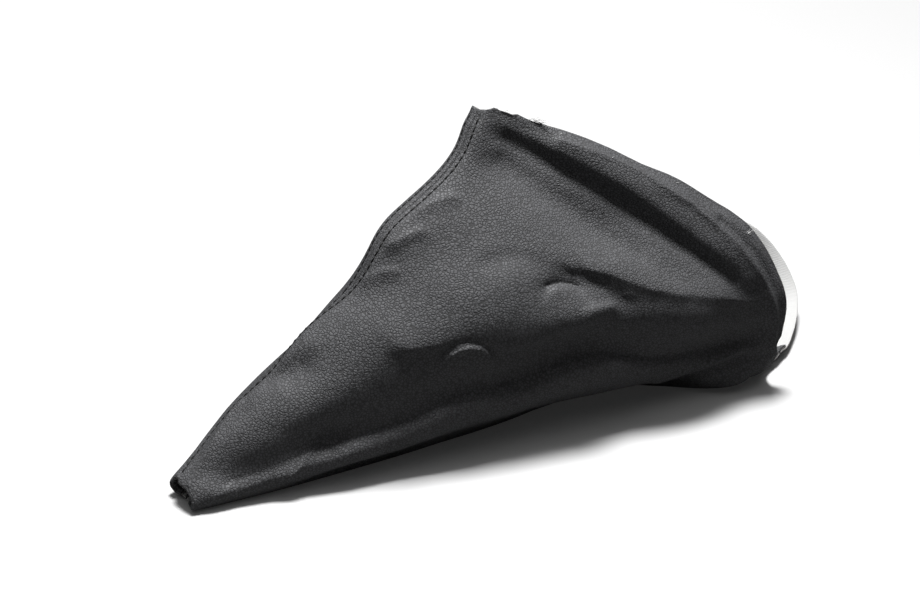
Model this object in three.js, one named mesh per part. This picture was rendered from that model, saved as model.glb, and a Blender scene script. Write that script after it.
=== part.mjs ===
import * as THREE from 'three';

// Driving sizes in mm. The gaiter lies on its side, the narrow end at -X and the mouth at +X.
const LENGTH = 335;
const WIDTH = 104;
const HEIGHT = 148;

// Leathercloth and its edges
const SHEET = 1.2;
const FOLD_RADIUS = 0.75;
const SEAM_ALLOWANCE = 8.5;
const HEM_DEPTH = 12;
const HEM_ROWS = [0, 0.5, 1];
const SEAM_GAP = 0.3;
const TOP_SEAM_EASE = 0.2;
const MOUTH_FLANGE = 8.5;
const MOUTH_CREASE = 1.3;
const SEAM_LIFT = 1.6;
const FLOOR_BLEND = 3;
const FOLD_CLEARANCE = 4;
const SEAM_LIFT_WIDTH = 5;
const SEAM_LIFT_MARGIN = 0.5;
const STRIP_HALF = 4.6;
const STRIP_DROP = 0.12;
const STRIP_TIP_SHARE = 0.5;
const STRIP_TAPER = 0.3;
const STRIP_ROLL = 0.8;
const STRIP_ROLL_FROM = 0.35;
const STRIP_ROLL_TO = 0.65;

// Topstitching
const STITCH_PITCH = 3.5;
const STITCH_FROM_SEAM = 2.9;
const THREAD_RADIUS = 0.42;
const HOLE_RADIUS = 0.16;
const THREAD_GAP = 0.4;
const STITCH_END_MARGIN = 3;

// Mesh density
const NEAR_MESH = { columns: 23, rows: 23 };
const FAR_MESH = { columns: 12, rows: 15 };
const ACROSS_SAMPLES = 72;
const PROBE_SHARE = 0.02;

// Rails from the narrow end to the mouth. Each point is [along, across, up] as shares of the driving sizes.
const RAILS = {
  topSeam: [[-0.003, 0.106, 0.077], [0.039, 0.144, 0.127], [0.077, 0.144, 0.205], [0.113, 0.135, 0.280],
    [0.155, 0.115, 0.365], [0.197, 0.096, 0.459], [0.250, 0.067, 0.540], [0.277, 0.048, 0.643],
    [0.301, 0.048, 0.718], [0.342, 0.058, 0.769], [0.397, 0.077, 0.838], [0.428, 0.096, 0.906],
    [0.453, 0.125, 0.993]],
  nearShoulder: [[-0.001, 0.062, 0.070], [0.069, 0.010, 0.222], [0.168, -0.067, 0.358], [0.266, -0.125, 0.519],
    [0.349, -0.115, 0.661], [0.435, -0.115, 0.752], [0.559, -0.019, 0.896]],
  nearFlank: [[0.000, 0.024, 0.074], [0.085, -0.077, 0.168], [0.203, -0.173, 0.284], [0.320, -0.269, 0.426],
    [0.419, -0.337, 0.547], [0.547, -0.279, 0.631], [0.666, -0.202, 0.767]],
  nearSide: [[0.000, -0.013, 0.058], [0.101, -0.096, 0.102], [0.238, -0.221, 0.182], [0.384, -0.327, 0.268],
    [0.516, -0.404, 0.350], [0.641, -0.462, 0.470], [0.785, -0.394, 0.551]],
  nearBelly: [[0.000, -0.027, 0.034], [0.111, -0.096, 0.050], [0.253, -0.202, 0.106], [0.423, -0.308, 0.156],
    [0.580, -0.413, 0.221], [0.714, -0.500, 0.285], [0.825, -0.510, 0.328]],
  nearPocket: [[0.000, -0.021, 0.022], [0.116, -0.077, 0.029], [0.258, -0.154, 0.071], [0.437, -0.231, 0.101],
    [0.630, -0.308, 0.095], [0.728, -0.413, 0.149], [0.828, -0.462, 0.169]],
  nearLobe: [[0.000, -0.015, 0.011], [0.121, -0.058, 0.010], [0.263, -0.115, 0.039], [0.455, -0.135, 0.039],
    [0.633, -0.144, 0.054], [0.773, -0.462, 0.037], [0.825, -0.471, 0.092]],
  nearCorner: [[0.003, 0.014, -0.014], [0.131, -0.019, -0.047], [0.281, -0.048, -0.054],
    [0.454, -0.048, -0.054], [0.639, -0.067, -0.034], [0.758, -0.365, 0.027], [0.830, -0.385, 0.041]],
  underSeam: [[0.003, 0.067, -0.014], [0.134, 0.096, -0.047], [0.284, 0.106, -0.061], [0.454, 0.077, -0.061],
    [0.627, 0.029, -0.054], [0.779, -0.115, -0.020], [0.878, -0.317, 0.027]],
  farBelly: [[0.003, 0.120, -0.014], [0.131, 0.221, -0.047], [0.281, 0.288, -0.061], [0.448, 0.308, -0.054],
    [0.633, 0.288, -0.041], [0.806, 0.192, 0.000], [0.994, 0.058, 0.095]],
  farSide: [[0.000, 0.154, 0.016], [0.110, 0.260, 0.081], [0.233, 0.346, 0.162], [0.364, 0.413, 0.209],
    [0.507, 0.442, 0.257], [0.687, 0.413, 0.297], [0.955, 0.231, 0.284]],
  farFlank: [[-0.003, 0.163, 0.041], [0.090, 0.240, 0.176], [0.185, 0.298, 0.284], [0.293, 0.346, 0.392],
    [0.382, 0.365, 0.527], [0.513, 0.423, 0.608], [0.746, 0.442, 0.554]],
  farShoulder: [[-0.003, 0.146, 0.068], [0.084, 0.202, 0.189], [0.170, 0.221, 0.318], [0.257, 0.212, 0.486],
    [0.334, 0.212, 0.649], [0.436, 0.279, 0.757], [0.585, 0.385, 0.770]],
};
const RAIL_NAMES = Object.keys(RAILS);
const UNDER_SEAM_INDEX = RAIL_NAMES.indexOf('underSeam');

// Folds and dents as the gaiter lies: the line each follows as [share round the panel, share along it],
// how far it stands out (or sinks in) and its half width, in mm.
const NEAR_FOLDS = [
  // hollow under the mouth
  {
    path: [[0.09, 0.94], [0.17, 0.925], [0.27, 0.90], [0.40, 0.89], [0.52, 0.89], [0.64, 0.92]],
    rise: -7.5,
    width: 10,
  },
  // lip between the hollow and the mouth
  { path: [[0.19, 0.98], [0.28, 0.96], [0.40, 0.955], [0.52, 0.95], [0.62, 0.96]], rise: 3, width: 8 },
  // second, shallower hollow beside it
  { path: [[0.08, 0.89], [0.18, 0.88], [0.32, 0.85]], rise: -1.8, width: 9 },
  // upper dent with its two bumps
  { path: [[0.36, 0.72], [0.38, 0.75], [0.43, 0.77], [0.50, 0.78]], rise: -3, width: 8 },
  { path: [[0.41, 0.70], [0.44, 0.72]], rise: 3, width: 9 },
  { path: [[0.49, 0.71], [0.52, 0.73]], rise: 2.6, width: 9 },
  // long soft crease from the upper dent to the mouth
  { path: [[0.51, 0.79], [0.57, 0.84], [0.65, 0.92]], rise: 3, width: 12 },
  // lower dent with its bump
  { path: [[0.36, 0.52], [0.40, 0.55], [0.47, 0.57]], rise: -2, width: 7 },
  { path: [[0.42, 0.50], [0.48, 0.52]], rise: 2.6, width: 8 },
  // wavy crease where the side turns under
  {
    path: [[0.66, 0.20], [0.60, 0.27], [0.65, 0.36], [0.60, 0.46], [0.64, 0.53], [0.62, 0.60], [0.68, 0.66],
      [0.77, 0.71]],
    rise: 2.4,
    width: 9,
  },
  // hollow near the floor towards the narrow end
  { path: [[0.70, 0.21], [0.72, 0.27], [0.84, 0.35]], rise: -2.4, width: 7 },
  // crease at the narrow end
  { path: [[0.04, 0.20], [0.12, 0.10], [0.24, 0.00]], rise: 1.2, width: 5 },
  // shallow dent below the top seam
  { path: [[0.07, 0.30], [0.16, 0.33]], rise: -1.8, width: 9 },
];
const FAR_FOLDS = [
  // hollow under the mouth
  { path: [[0.30, 0.92], [0.55, 0.90], [0.80, 0.92]], rise: -3.5, width: 15 },
  // long soft folds down the far side
  { path: [[0.35, 0.20], [0.45, 0.50], [0.40, 0.80]], rise: 2.2, width: 15 },
  { path: [[0.65, 0.30], [0.62, 0.55], [0.70, 0.80]], rise: -2.4, width: 14 },
];

// A fold is drawn in three flat steps, so it reaches this far past the line where it starts.
const FOLD_ANGLES = [Math.PI / 3, (2 * Math.PI) / 3];
const FOLD_REACH = (FOLD_RADIUS + SHEET / 2) * Math.sin(FOLD_ANGLES[0]);
const SEAM_START = SEAM_GAP / 2 + FOLD_REACH;

const leatherLook = new THREE.MeshStandardMaterial({ color: 0x454547, roughness: 0.55, metalness: 0 });
const threadLook = new THREE.MeshStandardMaterial({ color: 0x262627, roughness: 0.7, metalness: 0 });

function railCurve(points) {
  return new THREE.CatmullRomCurve3(points, false, 'centripetal');
}

const railCurves = RAIL_NAMES.map((name) => railCurve(RAILS[name].map(([along, across, up]) => (
  new THREE.Vector3(LENGTH * along, WIDTH * across, HEIGHT * up)
))));

// The doubled layers at the top seam hold a flat strip, which narrows and rolls over towards the narrow end.
function seamStripPoint(share, sideways) {
  const seam = railCurves[0].getPoint(share);
  const along = railCurves[0].getTangent(share);
  const farward = new THREE.Vector3(0, 1, 0);
  const up = along.clone().cross(farward).normalize();
  const half = STRIP_HALF * (STRIP_TIP_SHARE + (1 - STRIP_TIP_SHARE) * smoothStep(share / STRIP_TAPER));
  const roll = STRIP_ROLL * (1 - smoothStep((share - STRIP_ROLL_FROM) / (STRIP_ROLL_TO - STRIP_ROLL_FROM)));
  const across = farward.multiplyScalar(Math.cos(roll)).addScaledVector(up, -Math.sin(roll));
  return seam.addScaledVector(across, sideways * half).addScaledVector(up, -STRIP_DROP * half);
}

function smoothStep(value) {
  const t = Math.min(Math.max(value, 0), 1);
  return t * t * (3 - 2 * t);
}

// The floor carries the skin: below it the shape is pressed flat, with a short soft blend above.
function restOnFloor(point) {
  const blend = FLOOR_BLEND;
  const height = point.z - SHEET / 2;
  if (height < -blend) {
    point.z = SHEET / 2;
  } else if (height < blend) {
    point.z = SHEET / 2 + (height + blend) ** 2 / (4 * blend);
  }
  return point;
}

// One section of the bag at a share of its length, sampled evenly by length from the top seam to the
// under seam.
const sectionCache = new Map();

function sectionAt(share, side) {
  const key = `${side}:${share.toFixed(7)}`;
  if (sectionCache.has(key)) {
    return sectionCache.get(key);
  }
  const rails = railCurves.map((curve) => curve.getPoint(share));
  const points = [
    rails[0],
    seamStripPoint(share, -1),
    ...rails.slice(1),
    seamStripPoint(share, 1),
  ];
  const ring = new THREE.CatmullRomCurve3(points, true, 'centripetal');
  const count = points.length;
  const start = side === 'near' ? 0 : 1;
  const end = (UNDER_SEAM_INDEX + 1) / count;
  const samples = [];
  const lengths = [0];
  for (let i = 0; i <= ACROSS_SAMPLES; i += 1) {
    const turn = start + (end - start) * (i / ACROSS_SAMPLES);
    samples.push(restOnFloor(ring.getPoint(side === 'far' && i === 0 ? 0 : turn)));
    if (i > 0) {
      lengths.push(lengths[i - 1] + samples[i].distanceTo(samples[i - 1]));
    }
  }
  const section = { samples, lengths, total: lengths[ACROSS_SAMPLES] };
  sectionCache.set(key, section);
  return section;
}

function pointOnSection(section, distance) {
  const { samples, lengths } = section;
  let i = 1;
  while (i < lengths.length - 1 && lengths[i] < distance) {
    i += 1;
  }
  const span = lengths[i] - lengths[i - 1];
  const step = span > 0 ? (distance - lengths[i - 1]) / span : 0;
  return samples[i - 1].clone().lerp(samples[i], step);
}

// The bare skin of one panel at a share round it and a share along it.
function skinPoint(side, round, along) {
  const section = sectionAt(along, side);
  return pointOnSection(section, section.total * round);
}

// Length of the skin for each share along it, between two shares.
function alongSpeed(side, round, from, to) {
  return skinPoint(side, round, to).distanceTo(skinPoint(side, round, from)) / (to - from);
}

// Distance from a point to a run of straight steps.
function distanceToPath(point, path) {
  let best = Infinity;
  for (let i = 0; i + 1 < path.length; i += 1) {
    const line = new THREE.Line3(path[i], path[i + 1]);
    const nearest = line.closestPointToPoint(point, true, new THREE.Vector3());
    best = Math.min(best, nearest.distanceTo(point));
  }
  return best;
}

function foldHeight(point, folds) {
  let height = 0;
  folds.forEach((fold) => {
    height += fold.rise * Math.exp(-((distanceToPath(point, fold.path) / fold.width) ** 2));
  });
  return height;
}

function normalsOf(points, side) {
  const sign = side === 'near' ? 1 : -1;
  return points.map((row, i) => row.map((point, j) => {
    const before = row[Math.max(j - 1, 0)];
    const after = row[Math.min(j + 1, row.length - 1)];
    const below = points[Math.max(i - 1, 0)][j];
    const above = points[Math.min(i + 1, points.length - 1)][j];
    const round = after.clone().sub(before).normalize();
    const along = above.clone().sub(below).normalize();
    return round.cross(along).multiplyScalar(sign).normalize();
  }));
}

// Rows and columns of the outer layer, set out by distance from the edges and evenly in between.
function outerGrid(side, mesh, folds) {
  const topColumns = [SEAM_START + TOP_SEAM_EASE, SEAM_ALLOWANCE / 2, SEAM_ALLOWANCE];
  const underColumns = [SEAM_START, SEAM_ALLOWANCE / 2, SEAM_ALLOWANCE];
  const tipRows = HEM_ROWS.map((share) => share * HEM_DEPTH);
  const mouthRows = [2 * MOUTH_FLANGE, MOUTH_FLANGE, MOUTH_FLANGE / 2, 0];
  const columnCount = topColumns.length + mesh.columns + underColumns.length;
  const rowCount = tipRows.length + mesh.rows + mouthRows.length;
  const points = [];
  const seamDistances = [];
  for (let i = 0; i < rowCount; i += 1) {
    points.push([]);
    seamDistances.push([]);
    for (let j = 0; j < columnCount; j += 1) {
      const round = j / (columnCount - 1);
      const tipSpeed = alongSpeed(side, round, 0, PROBE_SHARE);
      const mouthSpeed = alongSpeed(side, round, 1 - PROBE_SHARE, 1);
      const tipShares = tipRows.map((distance) => distance / tipSpeed);
      const mouthShares = mouthRows.map((distance) => 1 - distance / mouthSpeed);
      const innerStart = tipShares[tipShares.length - 1];
      const innerEnd = mouthShares[0];
      let along = 0;
      if (i < tipRows.length) {
        along = tipShares[i];
      } else if (i < tipRows.length + mesh.rows) {
        along = innerStart + (innerEnd - innerStart) * ((i - tipRows.length + 1) / (mesh.rows + 1));
      } else {
        along = mouthShares[i - tipRows.length - mesh.rows];
      }
      const section = sectionAt(along, side);
      let distance = 0;
      if (j < topColumns.length) {
        distance = topColumns[j];
      } else if (j >= columnCount - underColumns.length) {
        distance = section.total - underColumns[columnCount - 1 - j];
      } else {
        const step = (j - topColumns.length + 1) / (mesh.columns + 1);
        distance = SEAM_ALLOWANCE + (section.total - 2 * SEAM_ALLOWANCE) * step;
      }
      points[i].push(pointOnSection(section, distance));
      seamDistances[i].push(section.total - distance);
    }
  }
  const bareNormals = normalsOf(points, side);
  points.forEach((row, i) => row.forEach((point, j) => {
    const fromSeam = seamDistances[i][j];
    const half = SEAM_ALLOWANCE / 2;
    const lift = SEAM_LIFT * (1 - smoothStep((fromSeam - half - SEAM_LIFT_MARGIN) / SEAM_LIFT_WIDTH));
    const crease = i === rowCount - mouthRows.length + 1 ? MOUTH_CREASE : 0;
    const clear = smoothStep((point.z - SHEET / 2) / FOLD_CLEARANCE);
    const rise = clear * foldHeight(point, folds) + crease - lift;
    point.addScaledVector(bareNormals[i][j], rise);
    point.z = Math.max(point.z, SHEET / 2);
  }));
  return { points, normals: normalsOf(points, side) };
}

// Along and across lines of the whole cut panel: turned-in layer, fold, then the outer layer.
function lineKinds(outerCount, turnedStart, turnedEnd) {
  const turned = [2, 1, 0];
  const kinds = [];
  if (turnedStart) {
    turned.forEach((index) => kinds.push({ kind: 'turned', index }));
    [...FOLD_ANGLES].reverse().forEach((angle) => kinds.push({ kind: 'fold', index: 0, toward: 1, angle }));
  }
  for (let index = 0; index < outerCount; index += 1) {
    kinds.push({ kind: 'outer', index });
  }
  if (turnedEnd) {
    const last = outerCount - 1;
    FOLD_ANGLES.forEach((angle) => kinds.push({ kind: 'fold', index: last, toward: last - 1, angle }));
    [...turned].reverse().forEach((index) => kinds.push({ kind: 'turned', index: last - index }));
  }
  return kinds;
}

function sheetNode(grid, row, column) {
  const { points, normals } = grid;
  const point = points[row.index][column.index].clone();
  const normal = normals[row.index][column.index].clone();
  if (row.kind === 'outer' && column.kind === 'outer') {
    return { point, normal };
  }
  const turning = row.kind === 'outer' ? column : row;
  if (turning.kind === 'turned') {
    return { point: point.addScaledVector(normal, -2 * FOLD_RADIUS), normal: normal.negate() };
  }
  const neighbour = row.kind === 'outer'
    ? points[row.index][column.toward]
    : points[row.toward][column.index];
  const edge = point.clone().sub(neighbour);
  edge.addScaledVector(normal, -edge.dot(normal)).normalize();
  const sine = Math.sin(turning.angle);
  const cosine = Math.cos(turning.angle);
  point.addScaledVector(edge, FOLD_RADIUS * sine).addScaledVector(normal, -FOLD_RADIUS * (1 - cosine));
  return { point, normal: normal.multiplyScalar(cosine).addScaledVector(edge, sine) };
}

// A cell of the cut panel is left out where the seam allowance and the hem would pile up.
function cellKept(rows, columns, i, j) {
  const rowPair = [rows[i], rows[i + 1]];
  const columnPair = [columns[j], columns[j + 1]];
  const lastOuter = Math.max(...columns.filter((line) => line.kind === 'outer').map((line) => line.index));
  const inHem = rowPair.some((line) => line.kind !== 'outer');
  const inAllowance = columnPair.some((line) => line.kind !== 'outer');
  if (inHem) {
    const besideSeam = columnPair.some((line) => line.index === 0 || line.index === lastOuter);
    return !inAllowance && !besideSeam;
  }
  const turnedPair = columnPair.every((line) => line.kind === 'turned');
  return !(turnedPair && rowPair[0].index < HEM_ROWS.length);
}

function buildPanel(name, grid, side) {
  const rows = lineKinds(grid.points.length, true, false);
  const columns = lineKinds(grid.points[0].length, true, true);
  const positions = [];
  const indices = [];
  const nodeIndex = new Map();
  const nodeAt = (i, j) => {
    const key = i * columns.length + j;
    if (!nodeIndex.has(key)) {
      const { point, normal } = sheetNode(grid, rows[i], columns[j]);
      const face = point.clone().addScaledVector(normal, SHEET / 2);
      const back = point.clone().addScaledVector(normal, -SHEET / 2);
      nodeIndex.set(key, positions.length / 3);
      positions.push(...face.toArray(), ...back.toArray());
    }
    return nodeIndex.get(key);
  };
  const addTriangle = (a, b, c) => {
    if (side === 'near') {
      indices.push(a, b, c);
    } else {
      indices.push(a, c, b);
    }
  };
  const kept = (i, j) => i >= 0 && j >= 0 && i + 1 < rows.length && j + 1 < columns.length
    && cellKept(rows, columns, i, j);
  const vertex = (index) => new THREE.Vector3().fromArray(positions, 3 * index);
  const addWall = (a, b) => {
    addTriangle(a, a + 1, b + 1);
    addTriangle(a, b + 1, b);
  };
  for (let i = 0; i + 1 < rows.length; i += 1) {
    for (let j = 0; j + 1 < columns.length; j += 1) {
      if (kept(i, j)) {
        const a = nodeAt(i, j);
        const b = nodeAt(i, j + 1);
        const c = nodeAt(i + 1, j + 1);
        const d = nodeAt(i + 1, j);
        if (vertex(a).distanceTo(vertex(c)) >= vertex(b).distanceTo(vertex(d))) {
          addTriangle(a, b, c);
          addTriangle(a, c, d);
          addTriangle(a + 1, c + 1, b + 1);
          addTriangle(a + 1, d + 1, c + 1);
        } else {
          addTriangle(a, b, d);
          addTriangle(b, c, d);
          addTriangle(a + 1, d + 1, b + 1);
          addTriangle(b + 1, d + 1, c + 1);
        }
        if (!kept(i - 1, j)) {
          addWall(a, b);
        }
        if (!kept(i, j + 1)) {
          addWall(b, c);
        }
        if (!kept(i + 1, j)) {
          addWall(c, d);
        }
        if (!kept(i, j - 1)) {
          addWall(d, a);
        }
      }
    }
  }
  return namedMesh(name, positions, indices, leatherLook);
}

function namedMesh(name, positions, indices, look) {
  const geometry = new THREE.BufferGeometry();
  geometry.setAttribute('position', new THREE.Float32BufferAttribute(positions, 3));
  geometry.setIndex(indices);
  geometry.computeVertexNormals();
  const mesh = new THREE.Mesh(geometry, look);
  mesh.name = name;
  return mesh;
}

// The line that a row of stitches follows, on the outer layer beside a seam.
function stitchLine(grid, besideTop) {
  const start = besideTop ? SEAM_START + TOP_SEAM_EASE : SEAM_START;
  const step = (STITCH_FROM_SEAM - start) / (SEAM_ALLOWANCE / 2 - start);
  const last = grid.points[0].length - 1;
  const first = besideTop ? 0 : last;
  const second = besideTop ? 1 : last - 1;
  return grid.points.map((row, i) => ({
    point: row[first].clone().lerp(row[second], step),
    normal: grid.normals[i][first].clone().lerp(grid.normals[i][second], step).normalize(),
  }));
}

function buildStitchRow(name, line) {
  const lengths = [0];
  for (let i = 1; i < line.length; i += 1) {
    lengths.push(lengths[i - 1] + line[i].point.distanceTo(line[i - 1].point));
  }
  const at = (distance) => {
    let i = 1;
    while (i < lengths.length - 1 && lengths[i] < distance) {
      i += 1;
    }
    const step = (distance - lengths[i - 1]) / (lengths[i] - lengths[i - 1]);
    return {
      point: line[i - 1].point.clone().lerp(line[i].point, step),
      normal: line[i - 1].normal.clone().lerp(line[i].normal, step).normalize(),
      tangent: line[i].point.clone().sub(line[i - 1].point).normalize(),
    };
  };
  const run = lengths[lengths.length - 1] - 2 * STITCH_END_MARGIN;
  const stitches = Math.round(run / STITCH_PITCH);
  const sides = 3;
  const positions = [];
  const indices = [];
  const steps = 2 * stitches;
  for (let i = 0; i <= steps; i += 1) {
    const place = at(STITCH_END_MARGIN + (run * i) / steps);
    const radius = i % 2 === 1 ? THREAD_RADIUS : HOLE_RADIUS;
    const height = SHEET / 2 + THREAD_GAP + radius / 2;
    const centre = place.point.clone().addScaledVector(place.normal, height);
    const sideways = place.tangent.clone().cross(place.normal).normalize();
    const upright = sideways.clone().cross(place.tangent).normalize();
    for (let k = 0; k < sides; k += 1) {
      const angle = Math.PI / 2 + (2 * Math.PI * k) / sides;
      const corner = centre.clone()
        .addScaledVector(sideways, radius * Math.cos(angle))
        .addScaledVector(upright, radius * Math.sin(angle));
      positions.push(...corner.toArray());
    }
    if (i > 0) {
      const now = sides * i;
      const past = now - sides;
      for (let k = 0; k < sides; k += 1) {
        const next = (k + 1) % sides;
        indices.push(past + k, now + next, past + next);
        indices.push(past + k, now + k, now + next);
      }
    }
  }
  const end = sides * steps;
  indices.push(0, 1, 2);
  indices.push(end, end + 2, end + 1);
  return namedMesh(name, positions, indices, threadLook);
}

function foldsOn(side, folds) {
  return folds.map(({ path, rise, width }) => ({
    path: path.map(([round, along]) => skinPoint(side, round, along)),
    rise,
    width,
  }));
}

const nearGrid = outerGrid('near', NEAR_MESH, foldsOn('near', NEAR_FOLDS));
const farGrid = outerGrid('far', FAR_MESH, foldsOn('far', FAR_FOLDS));

const gaiter = new THREE.Group();
gaiter.name = 'gear_lever_gaiter';
gaiter.add(buildPanel('near_panel', nearGrid, 'near'));
gaiter.add(buildPanel('far_panel', farGrid, 'far'));
gaiter.add(buildStitchRow('top_near_stitching', stitchLine(nearGrid, true)));
gaiter.add(buildStitchRow('top_far_stitching', stitchLine(farGrid, true)));
gaiter.add(buildStitchRow('under_near_stitching', stitchLine(nearGrid, false)));
gaiter.add(buildStitchRow('under_far_stitching', stitchLine(farGrid, false)));

// The origin is under the middle of the whole gaiter, on the floor.
const box = new THREE.Box3().setFromObject(gaiter);
const middle = box.getCenter(new THREE.Vector3());
gaiter.children.forEach((mesh) => mesh.geometry.translate(-middle.x, -middle.y, -box.min.z));

export default gaiter;
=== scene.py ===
import math
import random
from collections import namedtuple

import bmesh
import bpy
import numpy as np
from mathutils import Euler, Matrix, Vector, noise
from mathutils.bvhtree import BVHTree
from mathutils.kdtree import KDTree


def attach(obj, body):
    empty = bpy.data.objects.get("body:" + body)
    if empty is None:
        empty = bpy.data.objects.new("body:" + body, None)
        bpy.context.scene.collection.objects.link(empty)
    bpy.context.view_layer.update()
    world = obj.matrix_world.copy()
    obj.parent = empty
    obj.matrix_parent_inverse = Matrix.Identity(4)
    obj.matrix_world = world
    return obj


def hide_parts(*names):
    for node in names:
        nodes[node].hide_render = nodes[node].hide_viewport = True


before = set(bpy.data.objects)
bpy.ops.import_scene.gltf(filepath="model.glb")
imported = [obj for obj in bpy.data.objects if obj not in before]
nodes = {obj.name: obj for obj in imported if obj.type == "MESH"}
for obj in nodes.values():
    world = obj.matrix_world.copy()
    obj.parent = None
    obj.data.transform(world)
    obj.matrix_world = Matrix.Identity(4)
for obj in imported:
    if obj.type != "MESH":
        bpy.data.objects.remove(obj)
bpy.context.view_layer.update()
scene = bpy.context.scene
MM = 0.001

# The camera, where the photograph was taken from
CAMERA_PLACE = Vector((-0.47897, -0.71522, 0.51153))
CAMERA_TURN = Euler((math.radians(62), 0, math.radians(-32)))
CAMERA_LENS = 85
FILM_WIDTH = 36
PICTURE_WIDTH = 920
PICTURE_HEIGHT = 613
FOCAL_LENGTH = CAMERA_LENS / FILM_WIDTH * PICTURE_WIDTH

# The lamps: name, place, what it points at, its two sides and its power
LAMPS = [
    ("overhead_softbox", Vector((0.02, 0.03, 1.29)), Vector((0, 0, 0.06)), 0.3, 0.3, 21.5),
    ("wide_softbox", Vector((-0.1, -0.1, 1.3)), Vector((0, 0, 0.06)), 1.7, 1.7, 4.0),
]
ROOM_LIGHT = 0.008

# The floor: how bright the camera sees it, how much it lights the bag from below, near and far from the
# bag, how much it is lifted to white near and far, and how much of a distance in x counts
FLOOR_SIZE = 8
FLOOR_TONE = 0.80
FLOOR_BOUNCE = (0.20, 0.05)
BOUNCE_REACH = (0.09, 0.20)
FLOOR_LIFT = (0.016, 0.9)
LIFT_REACH = (0.12, 1.5)
COUNTED_OF_X = (0.6, 1, 1)

# The thickness of the sheet
SHEET = 1.2 * MM

# Materials of a panel, in the order of its slots
FACE_SIDE = 0
BACK_SIDE = 1
CUT_SIDE = 2

# Merging and squaring the panels of the part
MERGED_WITHIN = 0.01 * MM
LENGTH_SLACK = 0.003 * MM
ROUNDING = 1e-8
EDGE_CREASE = 0.85
FLAT_ENOUGH = math.radians(50)
SOFT_LEVELS = 2

# From the narrow end to the mouth, through the hollow of the bag
INSIDE_LINE = (Vector((-0.166, 0.006, 0.006)), Vector((0.09, 0.0, 0.065)))

# Where the edge of a panel reaches further than it was cut: points of the picture on the skin, how far
# each is pulled to the right and down in picture points, and how far the pull spreads in mm
Pull = namedtuple("Pull", "name line spread")
NEAR_PULLS = [
    Pull("blunt top corner",
         [(484, 118, 0, -5), (490, 122, 1, -9), (503, 124, 0, -9), (516, 126, 0, -7), (530, 129, 0, -3),
          (548, 134, 0, -1)], 6),
    Pull("mouth edge",
         [(640, 172, 0, 0), (662, 184, 1, -3), (684, 199, 1, -5), (704, 211, 2, -4), (722, 224, 4, -6),
          (738, 238, 6, -5), (752, 254, 6, -3), (764, 272, 5, -1), (771, 290, 5, 0), (773, 308, 6, 0),
          (770, 326, 8, 0), (768, 340, 8, 0), (767, 352, 3, 0)], 8),
]
FAR_PULLS = [
    Pull("mouth edge",
         [(735, 216, 0, 0), (752, 232, 4, -3), (767, 249, 5, -2), (779, 270, 6, -1), (785, 290, 7, 0),
          (786, 310, 6, 0), (783, 328, 6, 0), (777, 345, 4, 0)], 10),
]

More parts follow.
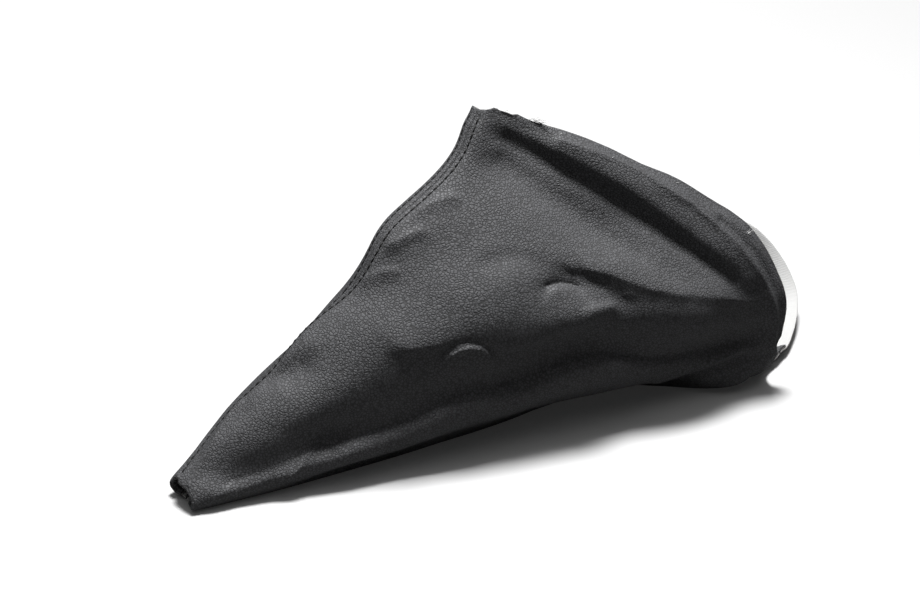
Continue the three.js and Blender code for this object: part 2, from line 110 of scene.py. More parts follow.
# Folds of the near panel as the picture shows them: the line of each in picture points, then in mm how
# far it stands out and how far it spreads to the left and to the right of the line as drawn, which is
# above and below a line drawn to the right. The last value is the shape of its top, where 2 is round and
# 1 is a crisp edge
Fold = namedtuple("Fold", "name line rise left right top")
ROUND = 2.0
FIRM = 1.6
SHARP = 1.5
CREASED = 1.3
CRISP = 1.15
NEAR_FOLDS = [
    Fold("lip above the hollow",
         [(505, 126), (552, 146), (588, 165), (624, 184), (662, 210), (698, 238), (728, 260), (746, 276)],
         2.3, 9.0, 4.6, ROUND),
    Fold("hollow under the mouth",
         [(505, 138), (545, 158), (584, 178), (620, 200), (660, 227), (698, 253), (730, 275)],
         -1.4, 4.0, 6.0, ROUND),
    Fold("fullness beside it",
         [(500, 148), (540, 171), (580, 196), (615, 218), (650, 242), (690, 267), (718, 284)],
         2.2, 5.6, 9.0, ROUND),
    Fold("faint hollow beside it", [(500, 163), (530, 181), (565, 208), (600, 234), (635, 254)],
         -0.9, 5.0, 6.0, ROUND),
    Fold("crease of the mouth",
         [(560, 142), (600, 157), (640, 174), (665, 189), (690, 204), (711, 221), (722, 230), (734, 241),
          (745, 254), (755, 266), (766, 283), (771, 294), (775, 304), (777, 318), (777, 330), (775, 342),
          (772, 354)], 1.5, 1.9, 1.9, CREASED),
    Fold("flange of the mouth",
         [(722, 222), (742, 240), (758, 258), (769, 275), (777, 293), (781, 306), (781, 328), (778, 345)],
         -1.4, 3.0, 3.0, ROUND),
    Fold("lit edge under the hollow",
         [(590, 270), (610, 274), (630, 282), (650, 289), (680, 295), (715, 299), (746, 301)],
         2.0, 9.0, 3.0, SHARP),
    Fold("dent above the upper bump", [(549, 285), (556, 283), (565, 282), (574, 283), (580, 285)],
         -1.5, 1.5, 3.0, CRISP),
    Fold("upper bump", [(556, 290), (563, 288), (570, 289)], 1.5, 2.0, 5.0, ROUND),
    Fold("valley beside the bump", [(576, 276), (590, 281), (604, 287), (620, 296)], -1.7, 3.0, 20.0, ROUND),
    Fold("second bump", [(592, 309), (600, 309), (610, 306)], 1.8, 2.0, 4.5, ROUND),
    Fold("shoulder of the middle",
         [(408, 347), (430, 344), (455, 342), (482, 343), (512, 344), (540, 337), (562, 328), (585, 322)],
         2.4, 11.0, 4.0, FIRM),
    Fold("soft shoulder of the narrow half", [(306, 416), (332, 396), (362, 372), (392, 350)],
         1.7, 11.0, 13.0, ROUND),
    Fold("dent above the lower bump", [(446, 347), (454, 343), (466, 341), (480, 343), (492, 349)],
         -1.1, 1.8, 3.0, CRISP),
    Fold("lower bump", [(452, 354), (460, 349), (469, 347), (478, 348), (487, 353)], 2.2, 1.8, 6.0, SHARP),
    Fold("long hollow of the side",
         [(333, 448), (352, 443), (387, 431), (413, 421), (443, 403), (467, 394), (503, 388), (530, 381),
          (543, 374), (557, 367), (580, 358), (607, 355), (633, 358), (657, 361), (677, 360), (700, 355),
          (720, 350), (745, 344)], -4.4, 15.0, 3.6, ROUND),
    Fold("hollow of the narrow half", [(236, 480), (268, 470), (300, 457), (333, 448)],
         -3.2, 14.0, 3.6, ROUND),
    Fold("turn under the side",
         [(333, 451), (352, 447), (387, 435), (413, 425), (443, 407), (467, 398), (503, 392), (530, 385),
          (543, 378), (557, 371), (580, 362), (607, 359), (633, 362), (657, 365), (677, 364), (700, 359),
          (720, 354), (737, 349)], 0.9, 1.8, 4.0, CRISP),
    Fold("turn under the narrow end",
         [(286, 477), (298, 469), (306, 460), (316, 453), (328, 449), (342, 448), (356, 447)],
         1.2, 2.4, 1.8, CRISP),
    Fold("upper side of the pocket", [(656, 381), (680, 373), (700, 366), (722, 357), (742, 349)],
         1.8, 4.0, 1.6, CRISP),
    Fold("pocket", [(664, 385), (690, 377), (716, 369), (742, 358)], -2.6, 1.8, 7.0, ROUND),
    Fold("roll at the lower edge of the narrow end", [(214, 494), (250, 482), (288, 470)],
         1.3, 6.0, 4.0, ROUND),
    Fold("crease at the narrow end",
         [(240, 403), (232, 412), (222, 427), (213, 442), (204, 457), (196, 472), (189, 485)],
         1.1, 1.7, 1.7, CREASED),
    Fold("pucker below the top seam", [(392, 243), (404, 237), (418, 231)], 1.1, 1.8, 3.6, ROUND),
    Fold("pucker above the middle", [(366, 279), (380, 272), (392, 270)], 0.9, 1.8, 3.6, ROUND),
    Fold("pucker near the top", [(420, 208), (436, 201), (452, 196)], 1.1, 1.8, 3.6, ROUND),
    Fold("low bump on the edge", [(288, 358), (306, 344)], 1.1, 3.5, 6.0, ROUND),
    Fold("second low bump on the edge", [(256, 398), (276, 387)], 1.0, 3.5, 6.0, ROUND),
    Fold("soft hollow below it", [(272, 377), (300, 366)], -1.0, 5.0, 6.0, ROUND),
    Fold("wrinkle of the middle", [(486, 262), (512, 256), (540, 262)], -0.9, 4.0, 5.0, ROUND),
]

# How quickly the spread of a fold changes from its left side to its right side, and a distance past any
# fold
SIDE_CHANGE = 1.8
FAR_AWAY = 1e9

# Soft lumps of the cloth: size and height
LUMPS = [(26 * MM, 0.7 * MM), (9 * MM, 0.16 * MM)]

# How near to the other panel a point is held still, and how far it takes from there until it moves freely
SEWN = 1.5 * MM
SEAM_FADE = 5 * MM

# How low above the floor a point is held still, and how far it takes from there until it moves freely
RESTS_BELOW = 0.6 * MM
REST_FADE = 4 * MM

# Splitting the skin finer: how far it may turn from the camera, the shortest edge that is split, the step
# along a crisp fold in picture points, how round a fold still counts as crisp, and how far beside it
# faces are split again
TURNED_AWAY = -0.15
SHORTEST_SPLIT = 0.3 * MM
STEP_ALONG_FOLD = 4
COUNTS_AS_CRISP = 1.5
BESIDE_FOLD = 3.2 * MM

# One stitch: the radius of its thread, and its bends as place along it and height in mm with the share of
# the radius
THREAD_RADIUS = 0.36 * MM
STITCH_BENDS = [(-1.6, -0.5, 0.7), (-1.25, 0.05, 0.95), (0, 0.26, 1), (1.25, 0.05, 0.95), (1.6, -0.5, 0.7)]
LOWEST_THREAD = 0.1 * MM

# The groove that the thread draws in, and the fullness beside it: height and spread
GROOVE = (-0.55 * MM, 1.3 * MM)
GROOVE_SIDES = (0.35 * MM, 4.0 * MM)

# Strands of the frayed backing that stand out of the raw edge: where each starts and ends in the picture
FRAYS = [
    ((534, 121), (552, 124)), ((533, 120), (549, 121)), ((536, 121), (546, 126)), ((531, 119), (541, 117)),
    ((538, 122), (551, 127)), ((529, 119), (537, 120)), ((540, 123), (547, 122)), ((535, 120), (544, 119)),
    ((748, 233), (757, 229)), ((748, 234), (755, 228)), ((749, 235), (753, 232)), ((747, 232), (751, 229)),
    ((505, 112), (509, 109)), ((560, 134), (564, 133)), ((612, 158), (615, 156)), ((676, 183), (679, 182)),
]
STRAND_RADIUS = 0.17 * MM
STRAND_BENDS = 4
STRAND_STRAY = 0.35 * MM
STRAND_TAPER = 0.75
STRAND_SEED = 4
EDGE_SEARCH = 12


def choose_none():
    bpy.ops.object.select_all(action="DESELECT")


def choose(piece):
    choose_none()
    piece.select_set(True)
    bpy.context.view_layer.objects.active = piece


def set_camera():
    lens = bpy.data.cameras.new("camera")
    lens.lens = CAMERA_LENS
    lens.sensor_width = FILM_WIDTH
    camera = bpy.data.objects.new("camera", lens)
    scene.collection.objects.link(camera)
    camera.location = CAMERA_PLACE
    camera.rotation_euler = CAMERA_TURN
    scene.camera = camera


# The direction in which a point of the picture lies from the camera
def picture_ray(x, y):
    ray = Vector(((x - PICTURE_WIDTH / 2) / FOCAL_LENGTH, -(y - PICTURE_HEIGHT / 2) / FOCAL_LENGTH, -1))
    ray.rotate(CAMERA_TURN)
    return ray.normalized()


# The spot of the skin that a point of the picture shows, or None beside the skin
def picture_spot(skin, x, y):
    return skin.ray_cast(CAMERA_PLACE, picture_ray(x, y))[0]


# A step to the right and down in the picture, as a direction in the scene
def picture_step(right, down):
    turn = CAMERA_TURN.to_matrix()
    return turn.col[0] * right - turn.col[1] * down


def new_material(name):
    material = bpy.data.materials.new(name)
    material.use_nodes = True
    tree = material.node_tree
    shader = tree.nodes["Principled BSDF"]
    return material, tree, shader


def link(tree, source, target):
    tree.links.new(source, target)


def object_place(tree):
    return tree.nodes.new("ShaderNodeTexCoord").outputs["Object"]


def noise_pattern(tree, place, scale, detail):
    pattern = tree.nodes.new("ShaderNodeTexNoise")
    pattern.inputs["Scale"].default_value = scale
    pattern.inputs["Detail"].default_value = detail
    link(tree, place, pattern.inputs["Vector"])
    return pattern


def band_pattern(tree, place, scale, distortion):
    pattern = tree.nodes.new("ShaderNodeTexWave")
    pattern.wave_type = "BANDS"
    pattern.bands_direction = "DIAGONAL"
    pattern.inputs["Scale"].default_value = scale
    pattern.inputs["Distortion"].default_value = distortion
    link(tree, place, pattern.inputs["Vector"])
    return pattern


# One value times a factor, and another value added to it
def scaled_and_added(tree, value, factor, added):
    total = tree.nodes.new("ShaderNodeMath")
    total.operation = "MULTIPLY_ADD"
    total.inputs[1].default_value = factor
    link(tree, value, total.inputs[0])
    link(tree, added, total.inputs[2])
    return total.outputs["Value"]


# Turns the range of a value into another range
def new_range(tree, value, given, wanted, smooth=False):
    change = tree.nodes.new("ShaderNodeMapRange")
    if smooth:
        change.interpolation_type = "SMOOTHSTEP"
    change.inputs["From Min"].default_value = given[0]
    change.inputs["From Max"].default_value = given[1]
    change.inputs["To Min"].default_value = wanted[0]
    change.inputs["To Max"].default_value = wanted[1]
    link(tree, value, change.inputs["Value"])
    return change


def raise_relief(tree, shader, height, strength, distance):
    bump = tree.nodes.new("ShaderNodeBump")
    bump.inputs["Strength"].default_value = strength
    bump.inputs["Distance"].default_value = distance
    link(tree, height, bump.inputs["Height"])
    link(tree, bump.outputs["Normal"], shader.inputs["Normal"])


# Colours the surface from one tone to another: each tone is its place in the pattern and its colour
def colour_between(tree, shader, pattern, first, second):
    tone = tree.nodes.new("ShaderNodeValToRGB")
    for element, (position, colour) in zip(tone.color_ramp.elements, (first, second)):
        element.position = position
        element.color = (*colour, 1)
    link(tree, pattern, tone.inputs["Fac"])
    link(tree, tone.outputs["Color"], shader.inputs["Base Color"])


# Black leathercloth with a pebbled grain. Its colour is painted shade of the grain: darker in the grooves
# and a little paler on the tops of the grain
def grained_leathercloth():
    material, tree, shader = new_material("black_grained_leathercloth")
    place = object_place(tree)
    wander = noise_pattern(tree, place, scale=420, detail=2)
    bend = tree.nodes.new("ShaderNodeVectorMath")
    bend.operation = "MULTIPLY_ADD"
    bend.inputs[1].default_value = (1.1 * MM, 1.1 * MM, 1.1 * MM)
    link(tree, wander.outputs["Color"], bend.inputs[0])
    link(tree, place, bend.inputs[2])
    grain = tree.nodes.new("ShaderNodeTexVoronoi")
    grain.feature = "DISTANCE_TO_EDGE"
    grain.inputs["Scale"].default_value = 720
    link(tree, bend.outputs["Vector"], grain.inputs["Vector"])
    grain_range_and_painted_shade = new_range(tree, grain.outputs["Distance"], given=(0, 0.22), wanted=(0, 1), smooth=True)
    grain_height_and_painted_shade = grain_range_and_painted_shade.outputs["Result"]
    creases = noise_pattern(tree, place, scale=210, detail=4)
    creases.inputs["Roughness"].default_value = 0.6
    height = scaled_and_added(tree, creases.outputs["Fac"], factor=1.3, added=grain_height_and_painted_shade)
    raise_relief(tree, shader, height, strength=0.75, distance=0.26 * MM)
    # Painted shade: the colour darkens into the grooves of the grain and pales on its tops
    colour_between(tree, shader, grain_height_and_painted_shade, (0, (0.062, 0.062, 0.064)), (1, (0.124, 0.125, 0.132)))
    gloss = new_range(tree, grain_height_and_painted_shade, given=(0, 1), wanted=(0.72, 0.58))
    link(tree, gloss.outputs["Result"], shader.inputs["Roughness"])
    shader.inputs["Specular IOR Level"].default_value = 0.5
    return material


# White knitted backing with fine ribbing of loops. Its colour is painted shade of the ribbing: darker in its
# low lines and paler on its raised ones
def knit_backing():
    material, tree, shader = new_material("white_knit_backing")
    place = object_place(tree)
    rib_height_and_painted_shade = band_pattern(tree, place, scale=480, distortion=2.5)
    rib_height_and_painted_shade.inputs["Detail"].default_value = 2
    fuzz = noise_pattern(tree, place, scale=1500, detail=3)
    height = scaled_and_added(tree, rib_height_and_painted_shade.outputs["Fac"], factor=1, added=fuzz.outputs["Fac"])
    raise_relief(tree, shader, height, strength=0.4, distance=0.2 * MM)
    # Painted shade: the white is darker in the low lines of the ribbing and paler on the raised ones
    colour_between(tree, shader, rib_height_and_painted_shade.outputs["Fac"], (0, (0.60, 0.60, 0.59)), (1, (0.74, 0.74, 0.735)))
    shader.inputs["Roughness"].default_value = 0.95
    shader.inputs["Sheen Weight"].default_value = 0.3
    return material


# The cut edge shows the black skin over the paler backing
def cut_edge():
    material, tree, shader = new_material("cut_edge_of_leathercloth")
    depth = tree.nodes.new("ShaderNodeAttribute")
    depth.attribute_name = "depth"
    fuzz = noise_pattern(tree, object_place(tree), scale=1300, detail=3)
    ragged = scaled_and_added(tree, fuzz.outputs["Fac"], factor=0.5, added=depth.outputs["Fac"])
    colour_between(tree, shader, ragged, (0.62, (0.022, 0.022, 0.023)), (0.78, (0.46, 0.45, 0.44)))
    raise_relief(tree, shader, fuzz.outputs["Fac"], strength=0.6, distance=0.2 * MM)
    shader.inputs["Roughness"].default_value = 0.85
    return material


# Black thread, its colour painted shade of its twisted ply: darker in the grooves and paler on the raised
# ply. The twisted pattern needs a UV map, which the stitches don't carry, so they show an even black
def black_thread():
    material, tree, shader = new_material("black_twisted_thread")
    place = tree.nodes.new("ShaderNodeTexCoord").outputs["UV"]
    twist_height_and_painted_shade = band_pattern(tree, place, scale=2.2, distortion=0.6).outputs["Fac"]
    raise_relief(tree, shader, twist_height_and_painted_shade, strength=0.7, distance=0.12 * MM)
    # Painted shade: darker in the grooves of the twisted ply, paler on its raised ply
    colour_between(tree, shader, twist_height_and_painted_shade, (0, (0.006, 0.006, 0.006)), (1, (0.022, 0.022, 0.023)))
    shader.inputs["Roughness"].default_value = 0.6
    return material


def set_lights():
    scene.view_settings.view_transform = "Standard"
    world = bpy.data.worlds.new("room")
    scene.world = world
    world.use_nodes = True
    tree = world.node_tree
    room = tree.nodes["Background"]
    room.inputs["Color"].default_value = (1, 1, 1, 1)
    room.inputs["Strength"].default_value = ROOM_LIGHT
    beyond = tree.nodes.new("ShaderNodeBackground")
    beyond.inputs["Color"].default_value = (1, 1, 1, 1)
    beyond.inputs["Strength"].default_value = 1
    rays = tree.nodes.new("ShaderNodeLightPath")
    choice = tree.nodes.new("ShaderNodeMixShader")
    link(tree, rays.outputs["Is Camera Ray"], choice.inputs["Fac"])
    link(tree, room.outputs["Background"], choice.inputs[1])
    link(tree, beyond.outputs["Background"], choice.inputs[2])
    link(tree, choice.outputs["Shader"], tree.nodes["World Output"].inputs["Surface"])
    for lamp in LAMPS:
        soft_lamp(*lamp)


def soft_lamp(name, place, aim, width, height, power):
    lamp = bpy.data.lights.new(name, "AREA")
    lamp.shape = "RECTANGLE"
    lamp.size = width
    lamp.size_y = height
    lamp.energy = power
    holder = bpy.data.objects.new(name, lamp)
    scene.collection.objects.link(holder)
    holder.location = place
    holder.rotation_euler = (aim - place).to_track_quat("-Z", "Y").to_euler()


# A white floor: what the camera sees of it is lifted to white, and it keeps the shadow
def lay_floor():
    choose_none()
    bpy.ops.mesh.primitive_plane_add(size=FLOOR_SIZE, location=(0, 0, 0))
    floor = bpy.context.object
    floor.name = "floor"
    material, tree, shader = new_material("white_floor")
    shader.inputs["Roughness"].default_value = 0.9
    shader.inputs["Specular IOR Level"].default_value = 0.0
    shader.inputs["Emission Color"].default_value = (1, 1, 1, 1)
    seen = tree.nodes.new("ShaderNodeLightPath").outputs["Is Camera Ray"]
    shorten = tree.nodes.new("ShaderNodeVectorMath")
    shorten.operation = "MULTIPLY"
    shorten.inputs[1].default_value = COUNTED_OF_X
    link(tree, object_place(tree), shorten.inputs[0])
    away = tree.nodes.new("ShaderNodeVectorMath")
    away.operation = "LENGTH"
    link(tree, shorten.outputs["Vector"], away.inputs[0])
    bounce = new_range(tree, away.outputs["Value"], BOUNCE_REACH, FLOOR_BOUNCE, smooth=True)
    tone = new_range(tree, seen, (0, 1), (0, FLOOR_TONE))
    link(tree, bounce.outputs["Result"], tone.inputs["To Min"])
    link(tree, tone.outputs["Result"], shader.inputs["Base Color"])
    paler = new_range(tree, away.outputs["Value"], LIFT_REACH, FLOOR_LIFT, smooth=True)
    lift = tree.nodes.new("ShaderNodeMath")
    lift.operation = "MULTIPLY"
    link(tree, seen, lift.inputs[0])
    link(tree, paler.outputs["Result"], lift.inputs[1])
    link(tree, lift.outputs["Value"], shader.inputs["Emission Strength"])
    floor.data.materials.append(material)


# A copy of a panel's solid, merged, with its sides marked and each pair of triangles made one square
# again
def merged_panel(node, name, outward):
    shape = bmesh.new()
    shape.from_mesh(nodes[node].data)
    bmesh.ops.remove_doubles(shape, verts=shape.verts, dist=MERGED_WITHIN)
    depth = shape.verts.layers.float.new("depth")
    through = edges_through_sheet(shape)
    sides_of_sheet(shape, through, depth, outward)
    bmesh.ops.dissolve_edges(shape, edges=square_diagonals(shape, through, depth), use_verts=False)
    crease = shape.edges.layers.float.new("crease_edge")
    for edge in shape.edges:
        sides = {face.material_index for face in edge.link_faces}
        if len(sides) == 2:
            edge[crease] = EDGE_CREASE
    for face in shape.faces:
        face.smooth = True
    mesh = bpy.data.meshes.new(name)
    shape.to_mesh(mesh)
    shape.free()
    for finish in (LEATHERCLOTH, BACKING, EDGE):
        mesh.materials.append(finish)
    panel = bpy.data.objects.new(name, mesh)
    scene.collection.objects.link(panel)
    return panel


# The lines across a cut edge, which are as long as the sheet is thick
def edges_through_sheet(shape):
    return {edge for edge in shape.edges if abs(edge.calc_length() - SHEET) < LENGTH_SLACK}


# Marks the face, the back and the cut edges of the sheet, and for every point the side that it is on
def sides_of_sheet(shape, through, depth, outward):
    cut = {face for face in shape.faces if any(edge in through for edge in face.edges)}
    unseen = {face for face in shape.faces if face not in cut}
    for side in (FACE_SIDE, BACK_SIDE):
        start = max(unseen, key=lambda face: outward * face.calc_center_median().y)
        spread = [start]
        unseen.discard(start)
        while spread:
            face = spread.pop()
            face.material_index = side
            for vert in face.verts:
                vert[depth] = side
            for edge in face.edges:
                for other in edge.link_faces:
                    if other in unseen:
                        unseen.discard(other)
                        spread.append(other)
    for face in cut:
        face.material_index = CUT_SIDE


# The lines that part a square into two triangles: the longest of both, or else any flat one that is left
# over
def square_diagonals(shape, through, depth):
    longest = {face: max(edge.calc_length() for edge in face.edges) for face in shape.faces}
    diagonals, paired = [], set()
    for edge in shape.edges:
        first, second = edge.link_faces
        if first.material_index != second.material_index:
            continue
        if first.material_index == CUT_SIDE:
            crossing = edge.verts[0][depth] != edge.verts[1][depth]
            fits = crossing and edge not in through
        else:
            length = edge.calc_length() + ROUNDING
            fits = length >= longest[first] and length >= longest[second]
        if fits and first not in paired and second not in paired:
            diagonals.append(edge)
            paired.update((first, second))
    for edge in sorted(shape.edges, key=lambda edge: -edge.calc_length()):
        first, second = edge.link_faces
        if first in paired or second in paired or first.material_index != second.material_index:
            continue
        if first.material_index == CUT_SIDE or edge.calc_face_angle(0) > FLAT_ENOUGH:
            continue
        diagonals.append(edge)
        paired.update((first, second))
    return diagonals


def soften(panel):
    choose(panel)
    smooth = panel.modifiers.new("soft", "SUBSURF")
    smooth.levels = SOFT_LEVELS
    smooth.render_levels = SOFT_LEVELS
    smooth.boundary_smooth = "PRESERVE_CORNERS"
    bpy.ops.object.modifier_apply(modifier="soft")


# For all points of a mesh, their places ("co") or the ways that they face ("normal")
def of_all_points(mesh, what):
    values = np.empty(len(mesh.vertices) * 3)
    mesh.vertices.foreach_get(what, values)
    return values.reshape(-1, 3)


# The skin of the bag: the faces of the sheet that look outwards. Gives its search tree, the number that
# each point of the panel has in the skin, and the skin's points and faces
def outer_skin(panel):
    mesh = panel.data
    place = of_all_points(mesh, "co")
    points, faces, numbers = [], [], {}
    start, end = INSIDE_LINE
    for face in mesh.polygons:
        if face.material_index != FACE_SIDE:
            continue
        share = (face.center - start).dot(end - start) / (end - start).length_squared
        share = max(0.0, min(1.0, share))
        if face.normal.dot(face.center - (start + share * (end - start))) <= 0:
            continue
        corners = []
        for vertex in face.vertices:
            if vertex not in numbers:
                numbers[vertex] = len(points)
                points.append(Vector(place[vertex]))
            corners.append(numbers[vertex])
        faces.append(corners)
    return BVHTree.FromPolygons(points, faces), numbers, points, faces


# For every point of a panel, the nearest spot of its outer skin and the way that the skin faces there
def nearest_skin(panel):
    skin, numbers, skin_points, skin_faces = outer_skin(panel)
    place = of_all_points(panel.data, "co")
    normal = of_all_points(panel.data, "normal")
    skin_normal = np.array([normal[vertex] for vertex in numbers])
    at = place.copy()
    out = normal.copy()
    for vertex in range(len(place)):
        if vertex in numbers:
            continue
        spot, _, index, _ = skin.find_nearest(Vector(place[vertex]))
        corners = skin_faces[index]
        weights = np.array([1 / ((skin_points[corner] - spot).length + 1e-5) for corner in corners])
        direction = (skin_normal[corners] * weights[:, None]).sum(0)
        at[vertex] = spot
        out[vertex] = direction / np.linalg.norm(direction)
    return skin, place, at, out


# How far each of many points is from a run of straight steps. Gives for each step in turn which points
# have come nearer with it, how far they are, and their share of the way along it
def nearer_steps(points, path):
    nearest = np.full(len(points), FAR_AWAY)
    for number, (start, end) in enumerate(zip(path[:-1], path[1:])):
        step = end - start
        share = np.clip((points - start) @ step / max(step @ step, 1e-12), 0, 1)
        offset = points - (start + share[:, None] * step)
        distance = np.linalg.norm(offset, axis=1)
        closer = distance < nearest
        nearest[closer] = distance[closer]
        yield number, closer, nearest, share, offset


# How high a fold stands at many points: it spreads unequally to the two sides of its line
def fold_height(points, path, rise, left, right, top):
    nearest = np.full(len(points), FAR_AWAY)
    side = np.zeros(len(points))
    for number, closer, nearest, _, offset in nearer_steps(points, path):
        to_left = np.cross(path[number + 1] - path[number], path[number] - np.array(CAMERA_PLACE))
        to_left = to_left / np.linalg.norm(to_left)
        side[closer] = ((offset @ to_left) / (np.linalg.norm(offset, axis=1) + 1e-9))[closer]
    spread = right + (left - right) * (0.5 + 0.5 * np.clip(SIDE_CHANGE * side, -1, 1))
    return rise * np.exp(-(nearest / spread) ** top)


# Soft lumps and small dents of handled leathercloth
def unevenness(points):
    rise = np.zeros(len(points))
    for size, height in LUMPS:
        rise += height * np.array([noise.noise(Vector(point) / size) for point in points])
    return rise


# How freely each point may move: not at all where the panel is sewn to the other one
def away_from_seams(at, other_skin):
    reach = np.array([other_skin.find_nearest(Vector(point))[3] for point in at])
    return np.clip((reach - SEWN) / SEAM_FADE, 0, 1)


# Moves the points of a panel, and holds those still that rest on the floor
def move_points(panel, place, move):
    clear = np.clip((place[:, 2] - RESTS_BELOW) / REST_FADE, 0, 1)
    panel.data.vertices.foreach_set("co", (place + move * clear[:, None]).ravel())
    panel.data.update()


# Raises the folds and the soft lumps of a panel
def shape_folds(panel, folds, other_skin):
    skin, place, at, out = nearest_skin(panel)
    rise = np.zeros(len(place))
    for fold in folds:
        spots = [picture_spot(skin, x, y) for x, y in fold.line]
        path = [np.array(spot) for spot in spots if spot is not None]
        rise += fold_height(at, path, fold.rise * MM, fold.left * MM, fold.right * MM, fold.top)
    rise += unevenness(at)
    rise *= away_from_seams(at, other_skin)
    move_points(panel, place, out * rise[:, None])


# Pulls the edge of a panel sideways as the picture shows it
def pull_edges(panel, pulls, other_skin):
    skin, place, at, _ = nearest_skin(panel)
    move = np.zeros((len(place), 3))
    for pull in pulls:
        path, shifts = [], []
        for x, y, right, down in pull.line:
            spot = picture_spot(skin, x, y)
            if spot is None:
                continue
            depth = (spot - CAMERA_PLACE).length
            path.append(np.array(spot))
            shifts.append(np.array(picture_step(right, down)) * depth / FOCAL_LENGTH)
        nearest = np.full(len(place), FAR_AWAY)
        carried = np.zeros((len(place), 3))
        for number, closer, nearest, share, _ in nearer_steps(at, path):
            shift = shifts[number] + share[:, None] * (shifts[number + 1] - shifts[number])
            carried[closer] = shift[closer]
        move += carried * np.exp(-(nearest / (pull.spread * MM)) ** 2)[:, None]
    move_points(panel, place, move * away_from_seams(at, other_skin)[:, None])


# Splits the faces of the skin that the picture shows, and those beside its crisp folds once more
def finer_skin(panel, folds):
    split_faces(panel, lambda centre, normal: normal.dot(CAMERA_PLACE - centre) > TURNED_AWAY)
    skin = outer_skin(panel)[0]
    beside = []
    for fold in folds:
        if fold.top > COUNTS_AS_CRISP:
            continue
        for (x0, y0), (x1, y1) in zip(fold.line[:-1], fold.line[1:]):
            steps = max(1, round(math.hypot(x1 - x0, y1 - y0) / STEP_ALONG_FOLD))
            for step in range(steps):
                share = step / steps
                spot = picture_spot(skin, x0 + (x1 - x0) * share, y0 + (y1 - y0) * share)
                if spot is not None:
                    beside.append(spot)
    near_folds = KDTree(len(beside))
    for number, spot in enumerate(beside):
        near_folds.insert(spot, number)
    near_folds.balance()
    split_faces(panel, lambda centre, normal: near_folds.find(centre)[2] < BESIDE_FOLD)


def split_faces(panel, chosen):
    shape = bmesh.new()
    shape.from_mesh(panel.data)
    shape.normal_update()
    edges = set()
    for face in shape.faces:
        if face.material_index == FACE_SIDE and chosen(face.calc_center_median(), face.normal):
            edges.update(edge for edge in face.edges if edge.calc_length() > SHORTEST_SPLIT)
    bmesh.ops.subdivide_edges(shape, edges=list(edges), cuts=1, use_grid_fill=True, smooth=0)
    shape.to_mesh(panel.data)
    shape.free()


# The middles of the three-cornered rings that a row of thread is made of, in order along it
def ring_centres(node, along):
    points = {tuple(round(value, 6) for value in vertex.co) for vertex in nodes[node].data.vertices}
    ordered = sorted((Vector(point) for point in points), key=lambda point: point.dot(along))
    rings = [ordered[number:number + 3] for number in range(0, len(ordered) - 2, 3)]
    return [sum(ring, Vector()) / 3 for ring in rings]


# A groove that a row of stitches draws into the skin
def draw_in(panel, rows):
    skin, place, at, out = nearest_skin(panel)
    rise = np.zeros(len(place))
    for centres in rows:
        holes = [np.array(skin.find_nearest(centre)[0]) for centre in centres[::2]]
        for height, spread in (GROOVE, GROOVE_SIDES):
            rise += fold_height(at, holes, height, spread, spread, ROUND)
    move_points(panel, place, out * rise[:, None])


# One stitch: a short thread that dips into its two holes
def one_stitch():
    curve = bpy.data.curves.new("stitch", "CURVE")
    curve.dimensions = "3D"
    curve.bevel_depth = THREAD_RADIUS
    curve.bevel_resolution = 1
    thread = curve.splines.new("POLY")
    thread.points.add(len(STITCH_BENDS) - 1)
    for point, (x, z, thickness) in zip(thread.points, STITCH_BENDS):
        point.co = (x * MM, 0, z * MM, 1)
        point.radius = thickness
    stitch = bpy.data.objects.new("stitch", curve)
    scene.collection.objects.link(stitch)
    choose(stitch)
    bpy.ops.object.convert(target="MESH")
    return bpy.context.object


# Sews a row of stitches over the skin along the middles of its holes
def sew_row(name, node, along, skin, stitch):
    centres = ring_centres(node, along)
    corners = [vertex.co.copy() for vertex in stitch.data.vertices]
    shapes = [tuple(face.vertices) for face in stitch.data.polygons]
    points, faces = [], []
    for number in range(0, len(centres) - 2, 2):
        start, middle, end = centres[number:number + 3]
        spot, facing = skin.find_nearest(middle)[:2]
        if facing.dot(middle - spot) < 0:
            facing = -facing
        run = skin.find_nearest(end)[0] - skin.find_nearest(start)[0]
        tangent = (run - run.project(facing)).normalized()
        turn = Matrix((tangent, facing.cross(tangent), facing)).transposed()
        first = len(points)
        for corner in corners:
            point = spot + turn @ corner
            point.z = max(point.z, LOWEST_THREAD)
            points.append(point)
        faces += [tuple(first + corner for corner in face) for face in shapes]
    mesh = bpy.data.meshes.new(name)
    mesh.from_pydata(points, [], faces)
    mesh.materials.append(THREAD)
    for face in mesh.polygons:
        face.use_smooth = True
    row = bpy.data.objects.new(name, mesh)
    scene.collection.objects.link(row)
    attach(row, "root")
    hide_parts(node)


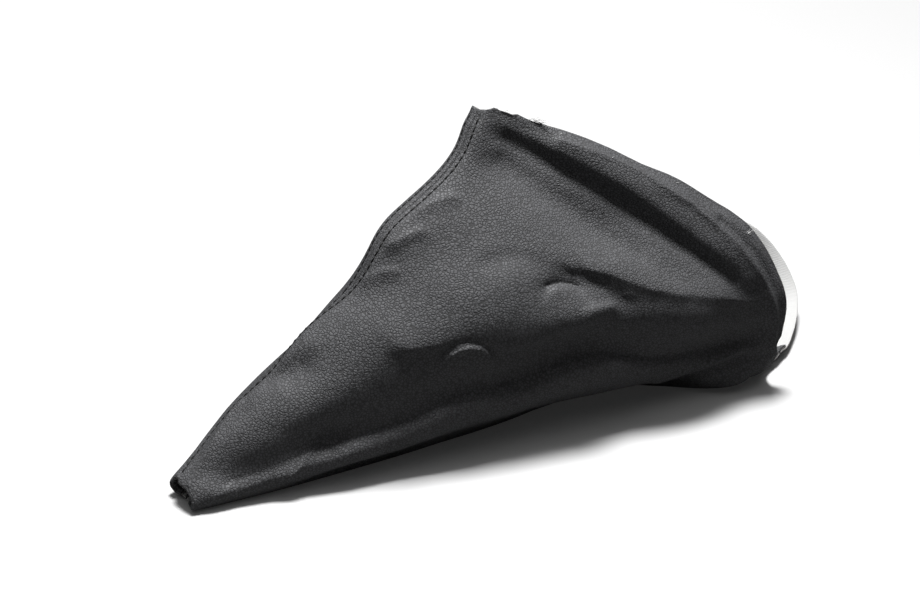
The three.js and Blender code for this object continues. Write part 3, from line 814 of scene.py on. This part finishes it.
# Lets strands of the backing stand out of the raw edge
def fray_threads(panel):
    skin = outer_skin(panel)[0]
    chance = random.Random(STRAND_SEED)
    curve = bpy.data.curves.new("frayed_threads", "CURVE")
    curve.dimensions = "3D"
    curve.bevel_depth = STRAND_RADIUS
    curve.bevel_resolution = 0
    for (x0, y0), (x1, y1) in FRAYS:
        spot = None
        for step in range(EDGE_SEARCH):
            spot = spot or picture_spot(skin, x0 - step / 2, y0 + step)
        depth = (spot - CAMERA_PLACE).length
        root = CAMERA_PLACE + picture_ray(x0, y0) * depth
        reach = picture_step(x1 - x0, y1 - y0) * depth / FOCAL_LENGTH
        strand = curve.splines.new("POLY")
        strand.points.add(STRAND_BENDS)
        for number, point in enumerate(strand.points):
            share = number / STRAND_BENDS
            stray = Vector([chance.uniform(-1, 1) for axis in range(3)]) * STRAND_STRAY * share
            point.co = (*(root + reach * share + stray), 1)
            point.radius = 1 - STRAND_TAPER * share
    threads = bpy.data.objects.new("frayed_threads", curve)
    scene.collection.objects.link(threads)
    choose(threads)
    bpy.ops.object.convert(target="MESH")
    threads = bpy.context.object
    threads.data.materials.append(BACKING)
    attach(threads, "root")


LEATHERCLOTH = grained_leathercloth()
BACKING = knit_backing()
EDGE = cut_edge()
THREAD = black_thread()

set_camera()
set_lights()
lay_floor()

near_panel = merged_panel("near_panel", "near_leathercloth_panel", -1)
far_panel = merged_panel("far_panel", "far_leathercloth_panel", 1)
for panel in (near_panel, far_panel):
    soften(panel)
finer_skin(near_panel, NEAR_FOLDS)
near_skin = outer_skin(near_panel)[0]
far_skin = outer_skin(far_panel)[0]
pull_edges(near_panel, NEAR_PULLS, far_skin)
shape_folds(near_panel, NEAR_FOLDS, far_skin)
pull_edges(far_panel, FAR_PULLS, near_skin)
shape_folds(far_panel, [], near_skin)

UP_THE_TOP_SEAM = Vector((1, 0, 1))
ALONG_THE_UNDER_SEAM = Vector((1, 0, 0))
ROWS = [
    ("top_near_stitches", "top_near_stitching", UP_THE_TOP_SEAM, near_panel),
    ("top_far_stitches", "top_far_stitching", UP_THE_TOP_SEAM, far_panel),
    ("under_near_stitches", "under_near_stitching", ALONG_THE_UNDER_SEAM, near_panel),
    ("under_far_stitches", "under_far_stitching", ALONG_THE_UNDER_SEAM, far_panel),
]
for panel in (near_panel, far_panel):
    draw_in(panel, [ring_centres(node, along) for name, node, along, cloth in ROWS if cloth is panel])
stitch = one_stitch()
for name, node, along, cloth in ROWS:
    sew_row(name, node, along, outer_skin(cloth)[0], stitch)
bpy.data.objects.remove(stitch)
fray_threads(near_panel)

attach(near_panel, "root")
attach(far_panel, "root")
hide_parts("near_panel")
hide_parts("far_panel")
